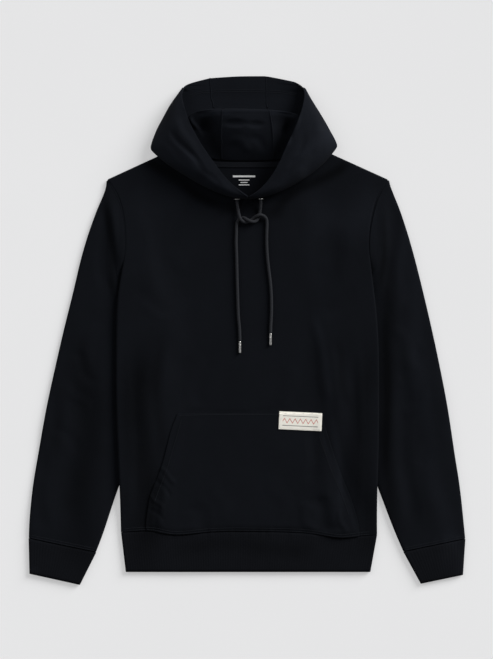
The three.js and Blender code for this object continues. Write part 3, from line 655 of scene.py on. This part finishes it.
def rib_face(start, turn=0.0):
    """Two columns of stitches on each rib, and rows across them."""
    where = start.make("ShaderNodeTexCoord", out=3)
    x, y, _ = start.axes(where, turn)
    columns = x.wave(RIB_PITCH / 2 * MM)
    rows = (y + abs((x % (RIB_PITCH / 2 * MM)) - RIB_PITCH / 4 * MM) * 0.8).wave(1.3 * MM)
    nap = start.noise(where, 500, 3)
    cloud = start.noise(where, 16, 2)
    # Painted light and shade: the vertex's painted value moves the rib's colour paler or darker.
    painted_shading = start.make("ShaderNodeAttribute", {"attribute_name": "painted_light_and_shade"}, out=2)
    shade = nap * 0.25 + cloud * 0.25 + 0.25 + painted_shading
    colour = start.mix(shade, (0.0014, 0.0016, 0.0022, 1), (0.0062, 0.0069, 0.009, 1))
    return {"Base Color": colour, "Normal": bumped(start, columns * 0.3 + rows * 0.3 + nap * 0.5, 0.18 * MM)}


for side, rows in CUFFS.items():
    plan = [[Vector(p) for p in row] for row in rows]
    width = (plan[1][1] - plan[1][0]).length
    ribs = round(width / RIB_PITCH)
    lean = math.atan2(plan[1][1].y - plan[1][0].y, abs(plan[1][1].x - plan[1][0].x))

    def cuff_place(u, v, plan=plan, ribs=ribs):
        v = v**RIB_CROWD
        outer = plan[0][0].lerp(plan[1][0], v)
        inner = plan[0][1].lerp(plan[1][1], v)
        spot = ribbed_place(outer, inner, u, ribs)
        spot.z = drawn_in(spot.z, v)
        return spot * MM

    finish = material(
        "cuff_rib_" + side,
        lambda start, turn=lean if side == "left" else -lean: rib_face(start, turn),
        **KNIT,
    )
    shape = note_painted_shading(walled(skin(ribs * RIB_COLUMNS + BEND_COLUMNS, RIB_ROWS, cuff_place), CLOTH))
    cuff = piece("cuff_rib_tube_" + side, shape, finish, ["cuff_" + side])

band_ribs = round((BAND_SIDES[1][1] - BAND_SIDES[1][0]) / RIB_PITCH)


def band_place(u, v):
    v = v**RIB_CROWD
    left, right = (a + (b - a) * v for a, b in zip(*BAND_SIDES))
    spot = ribbed_place(Vector((left, 0)), Vector((right, 0)), u, band_ribs)
    share = (spot.x - BAND_SIDES[0][0]) / (BAND_SIDES[0][1] - BAND_SIDES[0][0])
    straight = HEM_LINE[0][1] + (HEM_LINE[-1][1] - HEM_LINE[0][1]) * share
    top = (between(HEM_LINE, spot.x) if spot.z > FLAT / 2 else straight) - 0.15
    spot.y = top + (BAND_BOTTOM - top) * v
    spot.z = drawn_in(spot.z, v)
    upper = soft((spot.z - 4) / 3) * soft((200 - abs(spot.x)) / 16)
    spot.z += upper * (unevenness(spot.x, spot.y, 5.5, 60, 0.5) + puckers(spot.x, spot.y - top, 7.7))
    return spot * MM


rib = material("band_rib", rib_face, **KNIT)
band_skin = skin(band_ribs * RIB_COLUMNS + BEND_COLUMNS, RIB_ROWS, band_place)
band = piece("waistband_tube", note_painted_shading(walled(band_skin, CLOTH)), rib, ["hem_band"])


# Kangaroo pocket. One panel of the same fleece, sewn on along its top, its foot and the short sides, and
# open along its slanted edges, which are turned in, stitched and a little stretched by hands.
POCKET_FOLDS = [
    ((-152, -228), (-118, -262), 13, 1.3), ((-160, -246), (-126, -282), 11, -1.2),
    ((-168, -276), (-140, -304), 11, 1.3), ((-166, -300), (-138, -322), 12, -1.2),
    ((-140, -236), (-146, -344), 20, 1.4), ((112, -276), (146, -348), 44, -2.8),
    ((88, -286), (112, -348), 28, 1.2), ((152, -300), (168, -348), 16, 1.2),
    ((-96, -290), (-62, -344), 44, -1.3), ((122, -160), (106, -262), 36, -1.5),
    ((-60, -250), (-30, -330), 40, 0.8), ((40, -240), (70, -320), 44, 0.8),
    ((146, -196), (164, -262), 12, -0.9),
]
POCKET_SINK = {"foot": 1.7, "opening": 1.1}
CORNERS = {"top": -296, "left": 6.6, "right": 4.6}
POCKET_SIDES = [
    # y, left edge, right edge
    (-141, -113, 128), (-176, -124, 132), (-236, -141, 152), (-290, -164, 175), (-343, -169, 190.6),
]


def opening_gap(x, y):
    """How far a place is inside the pocket's nearer side edge."""
    left, right = (between([(-row[0], row[side]) for row in POCKET_SIDES], -y) for side in (1, 2))
    return min(x - left, right - x)


def pocket_field(x, y):
    own = sum(fold(x, y, *row) for row in POCKET_FOLDS) + 0.35
    above_foot = y - between(HEM_LINE, x)
    sink = max(
        POCKET_SINK["foot"] * soft(1 - above_foot / 12),
        POCKET_SINK["opening"] * soft(1 - opening_gap(x, y) / 9),
    )
    return front_field(x, y) + own * soft((-150 - y) / 20) * soft(above_foot / 12) - sink


def squared(bm):
    """Draws the lower corners out to the hem seam, where the sides run straight into it."""
    for vert in bm.verts:
        x, y = vert.co.x / MM, vert.co.y / MM
        low = soft((CORNERS["top"] - y) / 42)
        right = CORNERS["right"] * soft((x - 140) / 40)
        left = CORNERS["left"] * soft((-120 - x) / 40)
        vert.co.x += MM * low * (right - left)
    return bm


pocket_shape = lifted(squared(fine_copy("pocket", 3, 0.9)), pocket_field)
pocket = piece("pocket_panel", pocket_shape, fleece, ["pocket"])


# Woven label. A cream patch with a plain zigzag stripe, folded under at its ends and sewn all round to
# the pocket's upper corner.
LABEL = {"middle": (90.5, -153.9), "size": (73, 30.5), "turn": -2.7, "clear": 0.35}


def top_of(*pieces):
    """The surface of pieces that are in place, to be met from above."""
    meshes = []
    for made in pieces:
        bm = bmesh.new()
        bm.from_mesh(made.data)
        meshes.append(BVHTree.FromBMesh(bm))
        bm.free()

    def surface(x, y):
        hits = [tree.ray_cast(Vector((x * MM, y * MM, 0.2)), Vector((0, 0, -1))) for tree in meshes]
        found = [hit[:2] for hit in hits if hit[0] is not None]
        found = found or [(Vector((x * MM, y * MM, 0)), Vector((0, 0, 1)))]
        return max(found, key=lambda hit: hit[0].z)

    return surface


on_pocket = top_of(pocket, front)


def label_place(u, v):
    turn = math.radians(LABEL["turn"])
    rough = 0.22 * noise.noise(Vector((u * 60, v * 26, 1.7)))
    across = (u - 0.5) * (LABEL["size"][0] + (rough if 0.02 < v < 0.98 else 0))
    up = (v - 0.5) * (LABEL["size"][1] + (rough * 1.4 if u in (0, 1) else rough))
    x = LABEL["middle"][0] + across * math.cos(turn) - up * math.sin(turn)
    y = LABEL["middle"][1] + across * math.sin(turn) + up * math.cos(turn)
    edge = soft(min(u * LABEL["size"][0], (1 - u) * LABEL["size"][0], v * LABEL["size"][1],
                    (1 - v) * LABEL["size"][1]) / 2.4)
    lift = LABEL["clear"] + 0.9 + 0.25 * edge + 0.12 * noise.noise(Vector((u * 7, v * 4, 8)))
    return on_pocket(x, y)[0] + Vector((0, 0, lift * MM))


def woven(start):
    """Fine ribs of weft, a rust zigzag along the middle, and a dark line over and under it."""
    where = start.make("ShaderNodeTexCoord", out=3)
    middle = (-LABEL["middle"][0] * MM, -LABEL["middle"][1] * MM, 0)
    shifted = start.make("ShaderNodeMapping", sockets={0: where, "Location": middle})
    x, y, _ = start.axes(shifted, math.radians(-LABEL["turn"]))
    weft = y.wave(0.62 * MM)
    warp = x.wave(0.5 * MM)
    zigzag = abs(y - (abs((x % (9 * MM)) - 4.5 * MM) - 2.25 * MM) * 1.7) < 0.95 * MM
    inside = abs(x) < 30 * MM
    lines = (abs(abs(y) - 8.2 * MM) < 0.45 * MM) * inside
    speck = start.noise(where, 1300, 3)
    cream = start.mix(speck * 0.7 + weft * 0.3, (0.72, 0.69, 0.6, 1), (0.9, 0.87, 0.79, 1))
    rust = start.mix(zigzag * inside, cream, (0.5, 0.085, 0.055, 1))
    colour = start.mix(lines, rust, (0.05, 0.045, 0.05, 1))
    return {"Base Color": colour, "Normal": bumped(start, weft + warp * 0.5 + speck * 0.5, 0.18 * MM)}


woven_label = material("woven_label", woven, Roughness=0.75, Sheen_Weight=0.15)
patch = skin(96, 44, label_place)
label = piece("woven_patch", walled(patch, 0.7 * MM), woven_label, ["label"])


# Hood. Two sides and a centre strip, sewn together and to the neck. Its front edge is turned in as a
# casing for the cord, and laid open the crown folds down inside, so that a rolled ridge crosses it.
HOOD_FOLDS = [
    ((-158, 322), (-96, 262), 24, 1.6), ((-136, 344), (-70, 268), 16, -2.2),
    ((-124, 362), (-84, 292), 22, 1.8), ((-98, 290), (-38, 238), 16, -1.0),
    ((150, 330), (92, 258), 28, -1.4), ((122, 384), (116, 296), 26, 2.0),
    ((134, 350), (80, 282), 22, 1.6), ((102, 288), (44, 240), 18, -1.0),
    ((104, 336), (70, 270), 16, -1.4),
    ((-98, 362), (-74, 326), 12, 3.0), ((-78, 336), (-54, 288), 12, 3.0),
    ((92, 364), (70, 320), 12, 3.0), ((74, 330), (56, 290), 12, 3.0),
    ((-34, 330), (10, 304), 26, 1.6), ((4, 334), (36, 304), 22, -1.2),
]
HOOD_HOLLOWS = [
    # middle, half sizes, depth
    ((-70, 344), (16, 16), 7.0), ((68, 338), (12, 22), 7.5), ((-20, 350), (22, 8), 3.4),
    ((14, 348), (18, 7), 2.2), ((-62, 316), (8, 18), 3.5),
]


ROLL = {"y": 370, "half_width": 88, "rise": 0.8}


def hollow(x, y, middle, half, depth):
    away = math.hypot((x - middle[0]) / half[0], (y - middle[1]) / half[1])
    return depth * soft(1.15 - away)


def hood_field(x, y):
    inside = soft((y - 232) / 20) * (1 - soft((y - 400) / 16))
    down = sum(hollow(x, y, *row) for row in HOOD_HOLLOWS)
    roll = ROLL["rise"] * soft(1 - abs(y - ROLL["y"]) / 5) * soft((ROLL["half_width"] - abs(x)) / 10)
    folds = sum(fold(x, y, *row) for row in HOOD_FOLDS)
    return inside * (folds + unevenness(x, y, 12.3, 46, 1.0) + roll - down)


def raised_cloth(co):
    return soft((co.z - 9 * MM) / (9 * MM))


# The hood is the same fleece; its colour is made 1.35 times paler as painted light.
hood_fleece_painted_lighter = material("hood_fleece_painted_lighter", lambda start: fleece_face(start, light=1.35), **KNIT)
HOOD_CUTS = {
    "hood_left": ((0.22, 0.26), 0.033),
    "hood_centre": ((0.09, 0.22), 0.0198),
    "hood_right": ((0.22, 0.26), 0.033),
}
hood = []
for node, (flat, area) in HOOD_CUTS.items():
    shape = lifted(fine_copy(node, 3, 0.5), hood_field, raised_cloth)
    part = piece(node + "_panel", shape, hood_fleece_painted_lighter, [node])
    hood.append(part)


# Neck tape. Herringbone twill that covers the seam between the hood and the back, sewn along both edges.
def herringbone(start):
    where = start.make("ShaderNodeTexCoord", out=3)
    x, y, _ = start.axes(where)
    chevron = (y + abs((x % (5 * MM)) - 2.5 * MM)).wave(1.1 * MM)
    speck = start.noise(where, 1500)
    colour = start.mix(chevron * 0.6 + speck * 0.4, (0.0028, 0.0034, 0.0048, 1), (0.0066, 0.0078, 0.0108, 1))
    return {"Base Color": colour, "Normal": bumped(start, chevron, 0.2 * MM)}


twill = material("herringbone_twill", herringbone, Roughness=0.9, Sheen_Weight=0.02, Specular_IOR_Level=0.1)
tape = piece("neck_seam_tape", fine_copy("neck_tape", 3), twill, ["neck_tape"])


# Seams. Overlocked allowances lie flat under the hem, cuff, neck and hood seams, and just below the lower
# edge of the armholes. Inside the hood the seams also wander as raised ridges.
ARMHOLES = {
    "left": [(-212.4, 98), (-207.6, 123), (-206.6, 152), (-208.6, 180), (-213.6, 207), (-223.6, 234),
             (-236.2, 255.2)],
    "right": [(212, 98), (208.6, 123), (206.6, 152), (210.6, 180), (216.6, 207), (225.6, 234),
              (239, 255.2)],
}
ALLOWANCE = {"width": 9, "thickness": 0.7}
ARMHOLE_STRIP = {"width": 9, "sink": 0.45, "reach": 4.6, "taper": 14}
TAPER_END = 0.42
HIDDEN_STRIPS = {"height": 1.4, "neck_width": 14, "hood_width": 16}
HOOD_GAPS = {"left": [(-60, 392), (-54, 374), (-46, 352)], "right": [(34, 392), (35, 374), (38, 352)]}
HOOD_SEAMS = {
    "left_top": [(-62.8, 428.6), (-61.8, 414), (-60.4, 398), (-57, 379)],
    "left_fall": [(-42, 372.4), (-42.6, 358), (-43, 340), (-43.2, 312), (-43.2, 292)],
    "right_top": [(32.8, 431.4), (32.8, 414), (33.2, 398), (33.8, 379)],
    "right_fall": [(37.8, 371.4), (40.4, 357), (42.6, 340), (44.4, 312), (44.8, 292)],
}
RIDGE = {"radius": 1.5, "sink": 0.9, "wander": 1.1}
NECK_SEAM = [(-83, 304), (-70, 296.4), (-62, 293.4), (-43, 290.2), (-8, 289.2), (20, 289.2), (45, 290.2),
             (62, 293.4), (70, 296.4), (83, 304)]


def strip(name, route, width, taper=0):
    """A flat strip of cloth along a route, level across, that narrows over its last taper millimetres."""
    last = len(route) - 1
    span = route_length(route) / last

    def place(u, v):
        k = round(u * last)
        way = route[min(last, k + 1)] - route[max(0, k - 1)]
        across = Vector((-way.y, way.x, 0)).normalized()
        narrow = TAPER_END + (1 - TAPER_END) * soft((last - k) * span / taper) if taper else 1
        return (route[k] + across * (v - 0.5) * width * narrow) * MM

    piece(name, walled(skin(last, 2, place), ALLOWANCE["thickness"] * MM), fleece)


hem_route = [Vector((x, between(HEM_LINE, x), FLAT / 2)) for x in range(-212, 220, 8)]
strip("hem_allowance", hem_route, ALLOWANCE["width"])
for side, ends in CUFF_SEAMS.items():
    a, b = (Vector((*end, FLAT / 2)) for end in ends)
    inset = (b - a).normalized() * 1.2
    route = [(a + inset).lerp(b - inset, k / 16) for k in range(17)]
    strip("cuff_allowance_" + side, route, ALLOWANCE["width"])
neck_route = smooth_route([Vector((*point, HIDDEN_STRIPS["height"])) for point in NECK_SEAM], 4)
strip("neck_allowance", neck_route, HIDDEN_STRIPS["neck_width"])
for side, line in HOOD_GAPS.items():
    route = even_route([Vector((*point, HIDDEN_STRIPS["height"])) for point in line], 5)
    strip("hood_allowance_" + side, route, HIDDEN_STRIPS["hood_width"])

on_front = top_of(front)
for side, line in ARMHOLES.items():
    on_sleeve = top_of(sleeves[side])
    outwards = -1 if side == "left" else 1
    route = even_route(smooth_route([Vector((*point, 0)) for point in line], 8), 3)
    for k, point in enumerate(route):
        way = (route[min(len(route) - 1, k + 1)] - route[max(0, k - 1)]).normalized()
        across = Vector((way.y, -way.x, 0)) * ARMHOLE_STRIP["reach"]
        if across.x * outwards < 0:
            across = -across
        body_top = on_front(*(point - across).xy)[0].z
        sleeve_top = on_sleeve(*(point + across).xy)[0].z
        heights = [z for z in (body_top, sleeve_top) if z > MM]
        point.z = min(heights) / MM - ARMHOLE_STRIP["sink"] if heights else route[k - 1].z
    for k in range(1, len(route) - 1):
        route[k].z = (route[k - 1].z + 2 * route[k].z + route[k + 1].z) / 4
    strip("armhole_allowance_" + side, route, ARMHOLE_STRIP["width"], ARMHOLE_STRIP["taper"])

on_hood = top_of(*hood)
for name, line in HOOD_SEAMS.items():
    route = even_route(smooth_route([Vector((*point, 0)) for point in line], 8), 1.6)
    for k, point in enumerate(route):
        higher = max(on_hood(point.x + off, point.y)[0].z for off in (-2.5, 2.5))
        point.z = higher / MM - RIDGE["sink"]
        point.x += RIDGE["wander"] * noise.noise(Vector((k / 6, len(name), 0)))
    ridge = tube([point * MM for point in route], 10, lambda u, v: RIDGE["radius"] * MM)
    piece("hood_seam_" + name, ridge, hood_fleece_painted_lighter)


# Stitching. Rows of lockstitch and cover stitch beside the seams, in thread of the fleece's colour that
# dips into the cloth at each end of a stitch.
STITCH = {"pitch": 3.0, "thickness": 0.8, "dip": 0.45, "rise": 0.06}
SEAM_ROWS = (1.8, 5.8)  # how far rows of stitches are from a seam
CASING_ROWS = (0, 3.2)
POCKET_TOP_LINE = [(-115, -144.6), (-60, -143), (0, -142.6), (52, -143.4)]
POCKET_EDGES = {
    "left": [(-111.5, -152), (-118, -176), (-126, -202), (-136, -236), (-147, -264), (-156.5, -290)],
    "right": [(122.5, -180), (132, -206), (142.5, -236), (153.5, -262), (165, -290), (172.5, -312)],
}
CASING_LINE = [(-97, 399), (-84, 405), (-60, 407.6), (-20, 408.6), (20, 408.4), (60, 406.4), (84, 402.6)]


def thread_face(start):
    where = start.make("ShaderNodeTexCoord", out=3)
    twist = start.noise(where, 1800)
    colour = start.mix(twist, (0.0045, 0.0052, 0.0068, 1), (0.0105, 0.012, 0.0155, 1))
    return {"Base Color": colour, "Normal": bumped(start, twist, 0.05 * MM)}


thread = material("sewing_thread", thread_face, Roughness=0.8, Specular_IOR_Level=0.1)


def stitch_row(name, points, surface):
    """A row of stitches that follows points in plan over a surface, in millimetres, where it is met."""
    route = even_route(smooth_route([Vector((x, y, 0)) for x, y in points], 8), STITCH["pitch"] / 4)
    route = [point for point in route if surface(point.x, point.y)[0].z > MM]
    for k, point in enumerate(route):
        up = STITCH["rise"] if k % 4 else -STITCH["dip"]
        point.z = surface(point.x, point.y)[0].z / MM + up
    shape = tube([point * MM for point in route], 6, lambda u, v: STITCH["thickness"] / 2 * MM)
    piece(name, shape, thread)


def beside(points, gap):
    """The same line moved sideways by gap, to the left of its way."""
    moved = []
    for k, (x, y) in enumerate(points):
        (ax, ay), (bx, by) = points[max(0, k - 1)], points[min(len(points) - 1, k + 1)]
        long = math.hypot(bx - ax, by - ay)
        moved.append((x - (by - ay) / long * gap, y + (bx - ax) / long * gap))
    return moved


hem_line = [(x, between(HEM_LINE, x)) for x in range(-208, 216, 16)]
over_hem = top_of(front, pocket)
for row, gap in enumerate(SEAM_ROWS):
    stitch_row(f"hem_stitches_{row}", beside(hem_line, gap), over_hem)
    for side, (a, b) in CUFF_SEAMS.items():
        a, b = Vector(a), Vector(b)
        line = [tuple(a.lerp(b, share)) for share in (0.035, *(k / 8 for k in range(1, 8)), 0.965)]
        stitch_row(f"cuff_stitches_{side}_{row}", beside(line, gap), top_of(sleeves[side]))
over_pocket = top_of(pocket)
stitch_row("pocket_top_stitches", POCKET_TOP_LINE, over_pocket)
for side, line in POCKET_EDGES.items():
    stitch_row("pocket_opening_stitches_" + side, line, over_pocket)
for row, gap in enumerate(CASING_ROWS):
    stitch_row(f"casing_stitches_{row}", beside(CASING_LINE, -gap), on_hood)


# Floor and lights. A plain pale surface that glows a little, as a light table does, a low broad light from
# the upper right, and a soft even sky.
FLOOR = {"reach": 30, "drop": 0.1 * MM, "glow": 0.42}


def pale_floor(start):
    where = start.make("ShaderNodeTexCoord", out=3)
    grain = start.noise(where, 3, 2)
    return {"Base Color": start.mix(grain, (0.366, 0.366, 0.368, 1), (0.386, 0.386, 0.388, 1))}


floor_bm = bmesh.new()
bmesh.ops.create_grid(floor_bm, x_segments=1, y_segments=1, size=FLOOR["reach"])
for vert in floor_bm.verts:
    vert.co.z = -FLOOR["drop"]
floor_mesh = bpy.data.meshes.new("floor")
floor_bm.to_mesh(floor_mesh)
floor_bm.free()
floor_mesh.materials.append(material(
    "pale_floor", pale_floor, Roughness=0.9, Specular_IOR_Level=0.1, Emission_Color=(0.965, 0.963, 0.962, 1),
    Emission_Strength=FLOOR["glow"],
))
floor = bpy.data.objects.new("floor", floor_mesh)
bpy.context.collection.objects.link(floor)


def sun(name, way, strength, angle):
    """A distant light that shines along way, as wide as angle degrees."""
    lamp = bpy.data.lights.new(name, "SUN")
    lamp.energy = strength
    lamp.angle = math.radians(angle)
    made = bpy.data.objects.new(name, lamp)
    made.rotation_euler = Vector(way).to_track_quat("-Z", "Y").to_euler()
    bpy.context.collection.objects.link(made)


sun("key", (-0.72, -0.6, -0.45), 4.5, 34)
sun("fill", (0.7, -0.5, -0.6), 0.8, 50)
sky = bpy.data.worlds.new("sky")
sky.use_nodes = True
sky.node_tree.nodes["Background"].inputs["Color"].default_value = (0.93, 0.95, 1, 1)
sky.node_tree.nodes["Background"].inputs["Strength"].default_value = 0.26
bpy.context.scene.world = sky
bpy.context.scene.view_settings.view_transform = "Standard"
